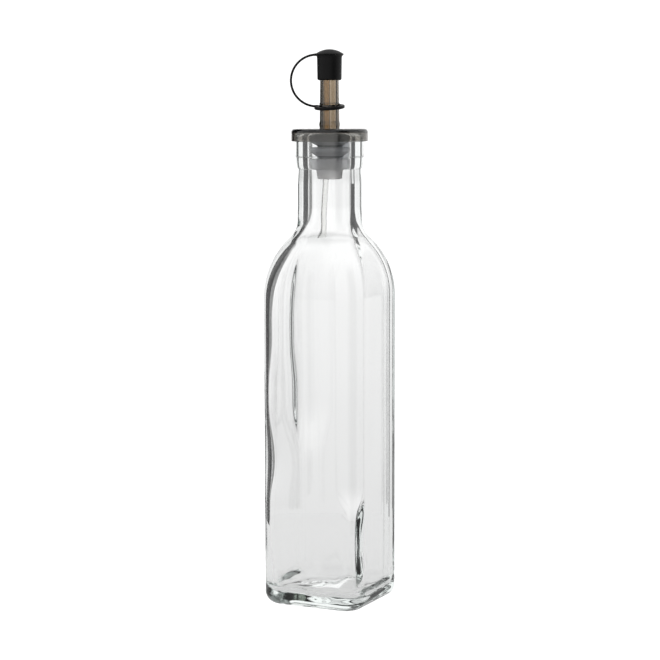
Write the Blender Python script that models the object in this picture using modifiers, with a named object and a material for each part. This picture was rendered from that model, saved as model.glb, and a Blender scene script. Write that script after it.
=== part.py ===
"""Square glass oil cruet: bottle, frosted stopper, smoke tinted pourer, air tube and tethered cap.

Metres, +Z up. The origin is at the middle of the face that the bottle stands on,
and the flat sides of the body face X and Y.
"""
import math

import bmesh
import bpy
from mathutils import Matrix, Vector

MM = 0.001

# Body of the bottle
BODY_SIDE = 48.0 * MM
BODY_CORNER = 9.6 * MM
WALL = 2.7 * MM
INNER_CORNER = 8.4 * MM
HEEL = 5.3 * MM
FLOOR_HEIGHT = 5.0 * MM
FLOOR_HEEL = 6.0 * MM
FLOOR_DOME = 3.0 * MM
PUSH_UP = 3.0 * MM
STANDING_BAND = 4.5 * MM

# Shoulder and neck of the bottle
SHOULDER_FOOT = 135.6 * MM
SHOULDER_TOP = 169.2 * MM
SHOULDER_ROUND = 33.4 * MM
HOLLOW_TOP = 175.0 * MM
HOLLOW_ROUND = 30.0 * MM
NECK_RADIUS = 14.1 * MM
NECK_WAIST = 13.6 * MM
NECK_WAIST_HEIGHT = 184.5 * MM
BORE_RADIUS = 9.2 * MM

# Lip of the bottle
LIP_RADIUS = 14.95 * MM
LIP_BOTTOM = 191.4 * MM
LIP_LEDGE_HEIGHT = 196.5 * MM
LIP_LEDGE = 0.2 * MM
LIP_TOP = 207.0 * MM
LIP_EDGE = 1.6 * MM
MOUTH_EDGE = 0.9 * MM

# Gap that touching pieces keep, and the same gap where soft fins press on the bore
GAP = 0.3 * MM
FIN_GAP = 0.25 * MM

# Stopper, with a rib on one side that joins its fins and bites into them
STOPPER_CORE = 5.3 * MM
STOPPER_BORE = 4.0 * MM
FIN_EDGE = 1.6 * MM
FIN_FALL = 2.6 * MM
FIRST_FIN_FALL = 2.0 * MM
FIN_ROUND = 0.5 * MM
FIN_TOPS = (200.8 * MM, 196.0 * MM)
FIRST_FIN_UNDERSIDE = 203.4 * MM
PLUG_BOTTOM = 191.2 * MM
PLUG_EDGE = 1.6 * MM
SPIGOT_TOP_RADIUS = 5.9 * MM
SPIGOT_TIP_RADIUS = 5.35 * MM
SPIGOT_TIP = 186.7 * MM
SPIGOT_EDGE = 0.5 * MM
RIB_THICKNESS = 1.6 * MM
RIB_BITE = 1.0 * MM

# Pourer: flange that caps the lip, spout and stem
FLANGE_RADIUS = 16.75 * MM
FLANGE_TOP = 208.9 * MM
FLANGE_THICKNESS = 1.6 * MM
FLANGE_EDGE = 1.5 * MM
SKIRT_WALL = 1.25 * MM
SKIRT_BOTTOM = 203.4 * MM
SKIRT_EDGE = 0.4 * MM
SPOUT_BORE = 2.9 * MM
SPOUT_FOOT_RADIUS = 4.33 * MM
SPOUT_TIP_RADIUS = 3.95 * MM
SPOUT_TIP = 238.4 * MM
SPOUT_EDGE = 0.35 * MM
BULGE_RADIUS = 4.56 * MM
BULGE_HEIGHT = 210.7 * MM
BULGE_HALF = 1.6 * MM
BEAD_HEIGHT = 219.7 * MM
BEAD_PROUD = 0.26 * MM
BEAD_HALF = 0.5 * MM
STEM_RADIUS = 3.7 * MM
STEM_BOTTOM = 191.0 * MM

# Air channel inside the spout, with a narrower foot, and the clear tube that hangs below it
CHANNEL_OFFSET = 1.45 * MM
CHANNEL_RADIUS = 1.6 * MM
CHANNEL_BORE = 1.25 * MM
CHANNEL_TOP = 236.0 * MM
CHANNEL_FOOT_BORE = 0.85 * MM
CHANNEL_FOOT = 4.0 * MM
AIR_TUBE_RADIUS = 1.3 * MM
AIR_TUBE_WALL = 0.35 * MM
AIR_TUBE_END = 160.0 * MM
AIR_TUBE_LEAN = 1.6 * MM
AIR_TUBE_BOW = 0.5 * MM
AIR_TUBE_OVERRUN = 0.8 * MM

# Cap, with its strap and ring
CAP_TOP = 243.2 * MM
CAP_DOME = 10.4 * MM
BRIM_RADIUS = 6.25 * MM
BRIM_EDGE = 0.3 * MM
CAP_RADIUS = 5.4 * MM
CAP_TAPER = 0.12 * MM
CAP_NECK_HEIGHT = 239.9 * MM
CAP_BOTTOM = 229.8 * MM
CAP_EDGE = 1.0 * MM
CAP_BORE = 4.45 * MM
STRAP_RADIUS = 0.5 * MM
STRAP_LOOP = 11.15 * MM
STRAP_CENTRE = 5.6 * MM
STRAP_HEIGHT = 229.7 * MM
STRAP_ROOT = 0.5 * MM
RING_RADIUS = 6.65 * MM
RING_BORE = 4.85 * MM
RING_THICKNESS = 1.4 * MM
RING_EDGE = 0.5 * MM
RING_HEIGHT = 218.2 * MM
RING_DIP = math.radians(6.5)
RING_ROLL = math.radians(2.8)

# The stopper's rib, the pourer and its strap are turned in the round neck, off the flat sides
POURER_TURN = math.radians(26.0)

# Fineness of the facets
CORNER_STEPS = 10
CURVE_STEPS = 8
EDGE_STEPS = 4
BAND_STEPS = 6
TURN_STEPS = 36
STRAP_POINTS = 28
SMOOTH_ANGLE = math.radians(35)


def clear_scene():
    for thing in list(bpy.data.objects):
        bpy.data.objects.remove(thing, do_unlink=True)


def new_collection(name):
    collection = bpy.data.collections.new(name)
    bpy.context.scene.collection.children.link(collection)
    return collection


def material(name, colour, roughness, transmission=0.0):
    """A Principled material with the piece's own colour."""
    mat = bpy.data.materials.new(name)
    mat.use_nodes = True
    mat.diffuse_color = (*colour, 1.0)
    shader = mat.node_tree.nodes["Principled BSDF"]
    shader.inputs["Base Color"].default_value = (*colour, 1.0)
    shader.inputs["Roughness"].default_value = roughness
    shader.inputs["Metallic"].default_value = 0.0
    shader.inputs["Transmission Weight"].default_value = transmission
    return mat


def new_object(name, mesh, collection, mat=None):
    thing = bpy.data.objects.new(name, mesh)
    collection.objects.link(thing)
    if mat:
        mesh.materials.append(mat)
    return thing


def make_cutter(thing):
    thing.hide_render = True
    thing.display_type = "WIRE"


def arc(centre, radius, start, end, steps=EDGE_STEPS):
    """Points (radius, height) round a centre, from one angle in degrees to another."""
    points = []
    for i in range(steps + 1):
        angle = math.radians(start + (end - start) * i / steps)
        points.append((centre[0] + radius * math.cos(angle), centre[1] + radius * math.sin(angle)))
    return points


def s_curve(foot, top, drop, convex):
    """Two tangent arcs from a wide foot to a narrow top.

    Gives (height, share), where the share of the drop that is left goes from 1 to 0.
    """
    rise = top - foot
    angle = 2.0 * math.atan2(drop, rise)
    concave = rise / math.sin(angle) - convex
    steps = []
    for i in range(CURVE_STEPS + 1):
        part = angle * i / CURVE_STEPS
        steps.append((foot + convex * math.sin(part), 1.0 - convex * (1.0 - math.cos(part)) / drop))
    for i in range(1, CURVE_STEPS + 1):
        part = angle * (1.0 - i / CURVE_STEPS)
        steps.append((top - concave * math.sin(part), concave * (1.0 - math.cos(part)) / drop))
    return steps


def rounded_square(half, corner, height):
    """One closed section. With the corner as large as the half side it is a circle."""
    centre = half - corner
    points = []
    for quadrant in range(4):
        for step in range(CORNER_STEPS):
            angle = math.radians(90.0 * (quadrant + (step + 0.5) / CORNER_STEPS))
            x, y = math.cos(angle), math.sin(angle)
            points.append(Vector((math.copysign(centre, x) + corner * x,
                                  math.copysign(centre, y) + corner * y, height)))
    return points


def heel_sections(half, corner, radius, height):
    """Sections up a rounded heel, from its flat to the upright wall."""
    sections = []
    for i in range(CURVE_STEPS + 1):
        angle = 0.5 * math.pi * i / CURVE_STEPS
        inset = radius * (1.0 - math.sin(angle))
        sections.append((height + radius * (1.0 - math.cos(angle)), half - inset, corner - inset))
    return sections


def shoulder_sections(foot, top, half, corner, neck, convex):
    """Sections from the rounded square of the body to the circle of the neck."""
    diagonal = (half - corner) * math.sqrt(2.0) + corner
    sections = []
    for height, share in s_curve(foot, top, diagonal - neck, convex):
        sections.append((height, neck + (half - neck) * share, neck + (corner - neck) * share))
    return sections


def dome_sections(half, corner, height, rise):
    """A low dome, from its round middle out to a rounded square edge."""
    sections = []
    for i in range(1, CURVE_STEPS + 1):
        share = i / CURVE_STEPS
        level = height + rise * 0.5 * (1.0 + math.cos(math.pi * share))
        sections.append((level, half * share, share * (half * (1.0 - share) + corner * share)))
    return sections


def underside_sections():
    """The dished middle of the base, out to the flat band that stands on the table."""
    return dome_sections(0.5 * BODY_SIDE - HEEL - STANDING_BAND, BODY_CORNER - HEEL, 0.0, PUSH_UP)


def floor_sections():
    """The inner floor, from just inside its round heel to the middle."""
    flat = 0.5 * BODY_SIDE - WALL - FLOOR_HEEL
    return dome_sections(flat, INNER_CORNER - FLOOR_HEEL, FLOOR_HEIGHT, FLOOR_DOME)[-2::-1]


def outer_sections():
    """The outside of the glass, from the heel up to the mouth."""
    half = 0.5 * BODY_SIDE
    sections = heel_sections(half, BODY_CORNER, HEEL, 0.0)
    sections += shoulder_sections(SHOULDER_FOOT, SHOULDER_TOP, half, BODY_CORNER, NECK_RADIUS,
                                  SHOULDER_ROUND)
    finish = [(NECK_RADIUS, NECK_WAIST_HEIGHT), (NECK_WAIST, LIP_BOTTOM)]
    ledge = LIP_RADIUS - LIP_LEDGE
    for i in range(1, EDGE_STEPS + 1):
        angle = 0.5 * math.pi * i / EDGE_STEPS
        finish.append((NECK_WAIST + (ledge - NECK_WAIST) * math.sin(angle),
                       LIP_LEDGE_HEIGHT - (LIP_LEDGE_HEIGHT - LIP_BOTTOM) * math.cos(angle)))
    finish.append((LIP_RADIUS, LIP_LEDGE_HEIGHT + LIP_LEDGE))
    finish += arc((LIP_RADIUS - LIP_EDGE, LIP_TOP - LIP_EDGE), LIP_EDGE, 0, 90)
    finish += arc((BORE_RADIUS + MOUTH_EDGE, LIP_TOP - MOUTH_EDGE), MOUTH_EDGE, 90, 180)
    return sections + [(height, radius, radius) for radius, height in finish]


def inner_sections():
    """The hollow of the glass, from the bore down to the floor."""
    half = 0.5 * BODY_SIDE - WALL
    sections = heel_sections(half, INNER_CORNER, FLOOR_HEEL, FLOOR_HEIGHT)
    sections += shoulder_sections(SHOULDER_FOOT, HOLLOW_TOP, half, INNER_CORNER, BORE_RADIUS,
                                  HOLLOW_ROUND)
    return sections[::-1]


def loft(name, sections):
    """A closed mesh through the sections in their order, shut by a flat face at each end."""
    shape = bmesh.new()
    rings = []
    for height, half, corner in sections:
        rings.append([shape.verts.new(point) for point in rounded_square(half, corner, height)])
    count = len(rings[0])
    for lower, upper in zip(rings, rings[1:]):
        for i in range(count):
            j = (i + 1) % count
            shape.faces.new((lower[i], lower[j], upper[j], upper[i]))
    shape.faces.new(rings[0])
    shape.faces.new(rings[-1])
    bmesh.ops.recalc_face_normals(shape, faces=shape.faces)
    mesh = bpy.data.meshes.new(name)
    shape.to_mesh(mesh)
    shape.free()
    return mesh


def smooth(mesh):
    mesh.shade_smooth()
    mesh.set_sharp_from_angle(angle=SMOOTH_ANGLE)


def turned(name, profile, closed, collection, mat=None):
    """A profile of (radius, height) points turned round the Z axis."""
    mesh = bpy.data.meshes.new(name)
    edges = [(i, i + 1) for i in range(len(profile) - 1)]
    if closed:
        edges.append((len(profile) - 1, 0))
    mesh.from_pydata([(radius, 0.0, height) for radius, height in profile], edges, [])
    thing = new_object(name, mesh, collection, mat)
    screw = thing.modifiers.new("Turn", "SCREW")
    screw.steps = TURN_STEPS
    screw.render_steps = TURN_STEPS
    screw.use_merge_vertices = True
    screw.merge_threshold = 0.01 * MM
    screw.use_smooth_shade = True
    return thing


def cylinder(name, radius, bottom, top, offset, collection):
    """An upright cylinder that stands off the axis along X."""
    shape = bmesh.new()
    place = Matrix.Translation((offset, 0.0, 0.5 * (bottom + top)))
    bmesh.ops.create_cone(shape, cap_ends=True, segments=TURN_STEPS // 2, radius1=radius,
                          radius2=radius, depth=top - bottom, matrix=place)
    mesh = bpy.data.meshes.new(name)
    shape.to_mesh(mesh)
    shape.free()
    thing = new_object(name, mesh, collection)
    make_cutter(thing)
    return thing


def block(name, low, high, collection):
    """An upright block between two opposite corners."""
    shape = bmesh.new()
    place = Matrix.Translation(0.5 * (low + high)) @ Matrix.Diagonal((*(high - low), 1.0))
    bmesh.ops.create_cube(shape, size=1.0, matrix=place)
    mesh = bpy.data.meshes.new(name)
    shape.to_mesh(mesh)
    shape.free()
    thing = new_object(name, mesh, collection)
    make_cutter(thing)
    return thing


def add_boolean(thing, other, operation):
    boolean = thing.modifiers.new(operation.title(), "BOOLEAN")
    boolean.operation = operation
    boolean.solver = "EXACT"
    boolean.object = other


def add_bottle(collection):
    mat = material("clear_glass", (0.93, 0.96, 0.95), 0.02, 1.0)
    mesh = loft("bottle", underside_sections() + outer_sections() + inner_sections()
                + floor_sections())
    smooth(mesh)
    return new_object("bottle", mesh, collection, mat)


def stopper_profile():
    """Outer side from the top down, with fins that slope underneath, then back up the bore."""
    tip = BORE_RADIUS - FIN_GAP
    profile = [(tip - FIN_ROUND, LIP_TOP), (tip, LIP_TOP - FIN_ROUND), (tip, FIRST_FIN_UNDERSIDE)]
    profile.append((STOPPER_CORE, FIRST_FIN_UNDERSIDE - FIRST_FIN_FALL))
    middle, last = FIN_TOPS
    profile += [(STOPPER_CORE, middle), (tip - FIN_ROUND, middle), (tip, middle - FIN_ROUND)]
    profile += [(tip, middle - FIN_EDGE), (STOPPER_CORE, middle - FIN_EDGE - FIN_FALL)]
    profile += [(STOPPER_CORE, last), (tip - FIN_ROUND, last), (tip, last - FIN_ROUND)]
    profile += arc((tip - PLUG_EDGE, PLUG_BOTTOM + PLUG_EDGE), PLUG_EDGE, 0, -90)
    profile.append((SPIGOT_TOP_RADIUS, PLUG_BOTTOM))
    profile += arc((SPIGOT_TIP_RADIUS - SPIGOT_EDGE, SPIGOT_TIP + SPIGOT_EDGE), SPIGOT_EDGE, 0, -90, 2)
    profile += [(STOPPER_BORE, SPIGOT_TIP), (STOPPER_BORE, LIP_TOP)]
    return profile


def add_stopper(collection, cutters):
    """On one side an upright rib joins the fins and fills the space between them."""
    mat = material("frosted_plastic", (0.62, 0.63, 0.64), 0.45, 0.4)
    stopper = turned("stopper", stopper_profile(), True, collection, mat)
    half = 0.5 * RIB_THICKNESS
    low = Vector((STOPPER_CORE - RIB_BITE, -half, FIN_TOPS[-1] - RIB_BITE))
    high = Vector((BORE_RADIUS - 2.0 * FIN_GAP, half, FIRST_FIN_UNDERSIDE + RIB_BITE))
    rib = block("rib", low, high, cutters)
    add_boolean(stopper, rib, "UNION")
    for thing in (stopper, rib):
        thing.rotation_euler.z = POURER_TURN
    return stopper


def spout_radius(height):
    """The spout narrows evenly from its foot to its tip."""
    share = (height - FLANGE_TOP) / (SPOUT_TIP - FLANGE_TOP)
    return SPOUT_FOOT_RADIUS + (SPOUT_TIP_RADIUS - SPOUT_FOOT_RADIUS) * share


def swelling(height, half, proud):
    """A soft band that stands proud of the spout, from the top down."""
    points = []
    for i in range(BAND_STEPS + 1):
        share = 1.0 - 2.0 * i / BAND_STEPS
        level = height + half * share
        points.append((spout_radius(level) + proud * (1.0 - share * share), level))
    return points


def pourer_profile():
    """Spout, flange and skirt down the outside, then up the stem and the bore."""
    tip = spout_radius(SPOUT_TIP)
    profile = arc((tip - SPOUT_EDGE, SPOUT_TIP - SPOUT_EDGE), SPOUT_EDGE, 90, 0, 2)
    profile += swelling(BEAD_HEIGHT, BEAD_HALF, BEAD_PROUD)
    profile += swelling(BULGE_HEIGHT, BULGE_HALF, BULGE_RADIUS - spout_radius(BULGE_HEIGHT))
    profile.append((SPOUT_FOOT_RADIUS, FLANGE_TOP))
    profile += arc((FLANGE_RADIUS - FLANGE_EDGE, FLANGE_TOP - FLANGE_EDGE), FLANGE_EDGE, 90, 0)
    profile += arc((FLANGE_RADIUS - SKIRT_EDGE, SKIRT_BOTTOM + SKIRT_EDGE), SKIRT_EDGE, 0, -90, 2)
    underside = FLANGE_TOP - FLANGE_THICKNESS
    inside = FLANGE_RADIUS - SKIRT_WALL
    profile += [(inside, SKIRT_BOTTOM), (inside, underside), (STEM_RADIUS, underside)]
    profile += [(STEM_RADIUS, STEM_BOTTOM), (SPOUT_BORE, STEM_BOTTOM), (SPOUT_BORE, SPOUT_TIP)]
    return profile


def add_pourer(collection, cutters):
    """The channel's wall is joined on inside the spout, then bored through in two widths."""
    mat = material("smoke_plastic", (0.20, 0.17, 0.15), 0.08, 0.9)
    pourer = turned("pourer", pourer_profile(), True, collection, mat)
    wall = cylinder("channel_wall", CHANNEL_RADIUS, STEM_BOTTOM + GAP, CHANNEL_TOP, -CHANNEL_OFFSET,
                    cutters)
    step = STEM_BOTTOM + CHANNEL_FOOT
    foot = cylinder("channel_foot", CHANNEL_FOOT_BORE, STEM_BOTTOM - GAP, step + GAP,
                    -CHANNEL_OFFSET, cutters)
    hole = cylinder("channel_hole", CHANNEL_BORE, step, CHANNEL_TOP + GAP, -CHANNEL_OFFSET, cutters)
    add_boolean(pourer, wall, "UNION")
    add_boolean(pourer, foot, "DIFFERENCE")
    add_boolean(pourer, hole, "DIFFERENCE")
    for thing in (pourer, wall, foot, hole):
        thing.rotation_euler.z = POURER_TURN
    return pourer


def wire(name, points, radius, collection):
    """A round wire along the points, as a curve with closed ends."""
    curve = bpy.data.curves.new(name, "CURVE")
    curve.dimensions = "3D"
    curve.bevel_depth = radius
    curve.bevel_resolution = 2
    curve.use_fill_caps = True
    spline = curve.splines.new("POLY")
    spline.points.add(len(points) - 1)
    for place, point in zip(spline.points, points):
        place.co = (*point, 1.0)
    thing = bpy.data.objects.new(name, curve)
    collection.objects.link(thing)
    return thing


def to_mesh(thing, collection):
    """A mesh in place of a curve, with the curve's loose caps welded on."""
    bpy.context.view_layer.update()
    depsgraph = bpy.context.evaluated_depsgraph_get()
    mesh = bpy.data.meshes.new_from_object(thing.evaluated_get(depsgraph))
    shape = bmesh.new()
    shape.from_mesh(mesh)
    bmesh.ops.remove_doubles(shape, verts=shape.verts, dist=0.005 * MM)
    bmesh.ops.recalc_face_normals(shape, faces=shape.faces)
    shape.to_mesh(mesh)
    shape.free()
    name, place = thing.name, thing.matrix_world.copy()
    bpy.data.objects.remove(thing, do_unlink=True)
    copy = new_object(name, mesh, collection)
    copy.matrix_world = place
    return copy


def air_tube_points(overrun):
    """Down from the channel's foot, leaning and bowed a little towards the strap's side."""
    top = STEM_BOTTOM - GAP
    length = top - AIR_TUBE_END
    extra = overrun / length
    points = []
    for i in range(CURVE_STEPS + 1):
        share = (1.0 + 2.0 * extra) * i / CURVE_STEPS - extra
        sway = CHANNEL_OFFSET + AIR_TUBE_LEAN * share + AIR_TUBE_BOW * share * share
        points.append((-sway, 0.0, top - length * share))
    return points


def add_air_tube(collection, cutters):
    """A clear tube: a wire less a thinner one that runs out past both of its ends."""
    mat = material("clear_tube", (0.90, 0.91, 0.90), 0.08, 0.9)
    outer = wire("breather_tube", air_tube_points(0.0), AIR_TUBE_RADIUS, collection)
    outer = to_mesh(outer, collection)
    bore = AIR_TUBE_RADIUS - AIR_TUBE_WALL
    inner = to_mesh(wire("breather_bore", air_tube_points(AIR_TUBE_OVERRUN), bore, cutters), cutters)
    make_cutter(inner)
    outer.data.materials.append(mat)
    smooth(outer.data)
    add_boolean(outer, inner, "DIFFERENCE")
    for thing in (outer, inner):
        thing.rotation_euler.z = POURER_TURN
    return outer


def cap_profile():
    """The domed top and its brim, down the side, and up inside to the ceiling."""
    edge = BRIM_RADIUS - BRIM_EDGE
    centre = (0.0, CAP_TOP - CAP_DOME)
    end = 90.0 - math.degrees(math.asin(edge / CAP_DOME))
    profile = arc(centre, CAP_DOME, 90.0, end, BAND_STEPS)
    brim = profile[-1][1] - BRIM_EDGE
    profile[0] = (0.0, CAP_TOP)
    profile += arc((edge, brim), BRIM_EDGE, 30, -60, 2)
    profile.append((CAP_RADIUS, CAP_NECK_HEIGHT))
    low = CAP_RADIUS - CAP_TAPER
    profile += arc((low - CAP_EDGE, CAP_BOTTOM + CAP_EDGE), CAP_EDGE, 0, -80)
    ceiling = SPOUT_TIP + GAP
    profile += [(CAP_BORE, CAP_BOTTOM), (CAP_BORE, ceiling), (0.0, ceiling)]
    return profile


def strap_points():
    """Half a turn of wire from the brim, out to one side, to the ring."""
    points = [(-STRAP_CENTRE + STRAP_ROOT, 0.0, STRAP_HEIGHT + STRAP_LOOP)]
    for radius, height in arc((-STRAP_CENTRE, STRAP_HEIGHT), STRAP_LOOP, 90, 270, STRAP_POINTS):
        points.append((radius, 0.0, height))
    points.append((-STRAP_CENTRE + STRAP_ROOT, 0.0, STRAP_HEIGHT - STRAP_LOOP))
    return points


def ring_profile():
    half = 0.5 * RING_THICKNESS
    profile = arc((RING_RADIUS - RING_EDGE, half - RING_EDGE), RING_EDGE, 90, 0, 3)
    profile += arc((RING_RADIUS - RING_EDGE, RING_EDGE - half), RING_EDGE, 0, -90, 3)
    profile += [(RING_BORE, -half), (RING_BORE, half)]
    return profile


def add_cap(collection, cutters):
    """Cap, strap and ring are one moulding."""
    mat = material("black_rubber", (0.012, 0.012, 0.013), 0.45)
    cap = turned("cap", cap_profile(), False, collection, mat)
    strap = to_mesh(wire("strap", strap_points(), STRAP_RADIUS, cutters), cutters)
    ring = turned("ring", ring_profile(), True, cutters)
    cap.rotation_euler.z = POURER_TURN
    strap.rotation_euler.z = POURER_TURN
    turn = Matrix.Rotation(POURER_TURN, 4, "Z")
    tilt = Matrix.Rotation(RING_DIP, 4, "X") @ Matrix.Rotation(-RING_ROLL, 4, "Y")
    ring.matrix_world = Matrix.Translation((0.0, 0.0, RING_HEIGHT)) @ turn @ tilt
    for extra in (strap, ring):
        make_cutter(extra)
        add_boolean(cap, extra, "UNION")
    return cap


def build():
    clear_scene()
    collection = new_collection("cruet")
    cutters = new_collection("cutters")
    add_bottle(collection)
    add_stopper(collection, cutters)
    add_pourer(collection, cutters)
    add_air_tube(collection, cutters)
    add_cap(collection, cutters)


build()
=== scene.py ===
# %% [markdown]
# # A square oil cruet of clear glass
# The cruet is an empty square bottle with a round neck. A frosted stopper holds a smoke tinted
# pourer in its mouth, a thin clear tube lets air in, and a black rubber cap hangs on its own strap.
# The solid model of each piece is loaded first. It fixes where everything is and how big it is.
# A bare import would show facets in the glass, so this lesson makes a finer mesh of each piece on
# the same sizes, gives it the finish of the real material, and sets up the light that glass needs.

# %% Load the solid model
import math

import bmesh
import bpy
from mathutils import Matrix, Vector, noise


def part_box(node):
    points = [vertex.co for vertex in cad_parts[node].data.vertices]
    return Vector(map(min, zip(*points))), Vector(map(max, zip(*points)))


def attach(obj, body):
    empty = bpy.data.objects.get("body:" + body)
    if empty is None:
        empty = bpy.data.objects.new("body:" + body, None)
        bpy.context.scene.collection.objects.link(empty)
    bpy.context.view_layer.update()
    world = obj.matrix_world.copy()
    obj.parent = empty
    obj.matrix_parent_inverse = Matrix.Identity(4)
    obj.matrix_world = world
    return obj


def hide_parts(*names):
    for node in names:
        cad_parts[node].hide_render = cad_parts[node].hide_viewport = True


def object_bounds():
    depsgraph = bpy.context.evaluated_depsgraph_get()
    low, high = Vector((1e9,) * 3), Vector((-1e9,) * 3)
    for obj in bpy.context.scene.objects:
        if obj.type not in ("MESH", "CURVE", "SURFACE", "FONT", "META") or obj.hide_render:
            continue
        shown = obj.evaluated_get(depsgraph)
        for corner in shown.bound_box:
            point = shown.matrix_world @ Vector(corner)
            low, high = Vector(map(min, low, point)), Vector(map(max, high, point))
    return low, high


MM = 0.001
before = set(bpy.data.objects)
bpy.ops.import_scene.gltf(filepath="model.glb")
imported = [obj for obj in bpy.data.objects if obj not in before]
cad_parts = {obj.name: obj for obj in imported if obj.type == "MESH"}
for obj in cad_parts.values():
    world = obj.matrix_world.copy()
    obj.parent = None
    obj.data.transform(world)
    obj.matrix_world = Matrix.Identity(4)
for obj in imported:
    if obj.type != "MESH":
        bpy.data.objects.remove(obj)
solid_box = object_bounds()
bottle_low, bottle_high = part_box("bottle")
side = (bottle_high.x - bottle_low.x) / MM
mouth = bottle_high.z / MM
top = solid_box[1].z / MM
print(f"body {side:.1f} mm square, mouth at {mouth:.1f} mm, top at {top:.1f} mm")

# %% [markdown]
# ## The camera
# The picture is taken a little above the middle of the bottle, from a corner, with a long lens.
# The place was found from the bottle's outline: how much the base curves down gives the height,
# and how wide each of the two visible sides looks gives the turn. A camera could also be aimed
# with a Track To constraint. Written out as a turn, a dip and a roll, each number can be checked.

# %% Place the camera
CAMERA_AWAY = 885.5
CAMERA_HEIGHT = 220.6
CAMERA_TURN = math.radians(26.02)
CAMERA_DIP = math.radians(6.445)
CAMERA_ROLL = math.radians(-0.12)
CAMERA_LENS = 110.3


def add_camera():
    data = bpy.data.cameras.new("camera")
    data.lens = CAMERA_LENS
    camera = bpy.data.objects.new("camera", data)
    bpy.context.scene.collection.objects.link(camera)
    place = Vector((math.sin(CAMERA_TURN) * CAMERA_AWAY, -math.cos(CAMERA_TURN) * CAMERA_AWAY,
                    CAMERA_HEIGHT)) * MM
    turn = Matrix.Rotation(CAMERA_TURN, 4, "Z") @ Matrix.Rotation(0.5 * math.pi - CAMERA_DIP, 4, "X")
    camera.matrix_world = Matrix.Translation(place) @ turn @ Matrix.Rotation(CAMERA_ROLL, 4, "Z")
    bpy.context.scene.camera = camera
    return camera


camera = add_camera()
print(f"camera at {[round(c, 3) for c in camera.location]} m, {CAMERA_LENS} mm lens")

# %% [markdown]
# ## Outlines
# Nearly every piece here is either turned or a rounded square that changes as it rises. Both are a
# stack of rings, so one skinning function serves for all of them. A Screw modifier would do for the
# turned pieces, but not for the bottle, whose square body has to flow into a round neck.
# Real edges are never sharp, and on glass each one shows as a bright or dark line. So an outline
# is written as corners with a fillet each, and a small function puts the arcs in.

# %% Arcs and fillets
ARC_STEP = math.radians(9)
NEARLY_STRAIGHT = math.radians(89)


def arc(centre, radius, start, end, steps):
    """Points (radius, height) round a centre, from one angle in degrees to another."""
    points = []
    for i in range(steps + 1):
        angle = math.radians(start + (end - start) * i / steps)
        points.append((centre[0] + radius * math.cos(angle), centre[1] + radius * math.sin(angle)))
    return points


def filleted(corners):
    """A closed outline from corners (radius, height, fillet), with an arc in place of each fillet."""
    points = []
    for i, (radius, height, fillet) in enumerate(corners):
        here = Vector((radius, height))
        back = (Vector(corners[i - 1][:2]) - here).normalized()
        ahead = (Vector(corners[(i + 1) % len(corners)][:2]) - here).normalized()
        half = 0.5 * back.angle(ahead)
        if fillet == 0 or half > NEARLY_STRAIGHT:
            points.append(tuple(here))
            continue
        centre = here + (back + ahead).normalized() * (fillet / math.sin(half))
        start = here + back * (fillet / math.tan(half)) - centre
        end = here + ahead * (fillet / math.tan(half)) - centre
        steps = max(2, round((math.pi - 2 * half) / ARC_STEP))
        for step in range(steps + 1):
            points.append(tuple(centre + start.slerp(end, step / steps).normalized() * fillet))
    return points


square = filleted([(1, 0, 0.1), (2, 0, 0.1), (2, 1, 0.1), (1, 1, 0.1)])
print("a filleted unit square has", len(square), "points")

# %% Rings and skins
RING_POINTS = 240
CORNER_CROWD = 0.6
SHARP_EDGE = math.radians(40)
NORMAL_WEIGHT = 80
ring_angles = []
for i in range(RING_POINTS):
    even = 2 * math.pi * i / RING_POINTS
    ring_angles.append(even + CORNER_CROWD * math.sin(4 * even) / 4)


def reach(angle, half, corner):
    """How far a rounded square's outline is from its middle. A corner as large as half makes a circle."""
    folded = abs((angle + 0.25 * math.pi) % (0.5 * math.pi) - 0.25 * math.pi)
    centre = half - corner
    if half * math.tan(folded) <= centre:
        return half / math.cos(folded)
    off = 0.25 * math.pi - folded
    diagonal = centre * math.sqrt(2)
    return diagonal * math.cos(off) + math.sqrt(corner ** 2 - (diagonal * math.sin(off)) ** 2)


def ring(height, half, corner, bulge=None):
    """A level ring of points in millimetres. corner is one radius or four, bulge pushes points outwards."""
    points = []
    for angle in ring_angles:
        round_off = corner[int(angle / (0.5 * math.pi)) % 4] if isinstance(corner, list) else corner
        radius = reach(angle, half, round_off) + (bulge(angle, height) if bulge else 0.0)
        points.append(Vector((radius * math.cos(angle), radius * math.sin(angle), height)))
    return points


def skin(name, rings, loop=False):
    """A closed mesh over the rings. It joins the last to the first, or shuts both ends at a middle point."""
    count = len(rings[0])
    points = [point * MM for level in rings for point in level]
    pairs = len(rings) if loop else len(rings) - 1
    faces = []
    for i in range(pairs):
        low, high = i * count, (i + 1) % len(rings) * count
        for j in range(count):
            k = (j + 1) % count
            faces.append((low + j, low + k, high + k, high + j))
    if not loop:
        for start, level in ((0, rings[0]), ((len(rings) - 1) * count, rings[-1])):
            points.append(sum(level, Vector()) / count * MM)
            faces += [(start + j, start + (j + 1) % count, len(points) - 1) for j in range(count)]
    mesh = bpy.data.meshes.new(name)
    mesh.from_pydata(points, [], faces)
    return finish_mesh(mesh)


def finish_mesh(mesh):
    """Turns the faces outwards, shades them smooth and prints what the closed mesh holds."""
    shape = bmesh.new()
    shape.from_mesh(mesh)
    bmesh.ops.recalc_face_normals(shape, faces=shape.faces)
    volume = shape.calc_volume(signed=True) / MM ** 3
    if volume < 0:
        bmesh.ops.reverse_faces(shape, faces=shape.faces)
    shape.to_mesh(mesh)
    shape.free()
    mesh.shade_smooth()
    mesh.set_sharp_from_angle(angle=SHARP_EDGE)
    print(f"{mesh.name}: {len(mesh.polygons)} faces, {abs(volume) / 1000:.2f} ml of material")
    return mesh


def turned(name, outline, loop=True):
    """An outline of (radius, height) points turned round the upright axis."""
    return skin(name, [ring(height, radius, radius) for radius, height in outline], loop)


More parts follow.
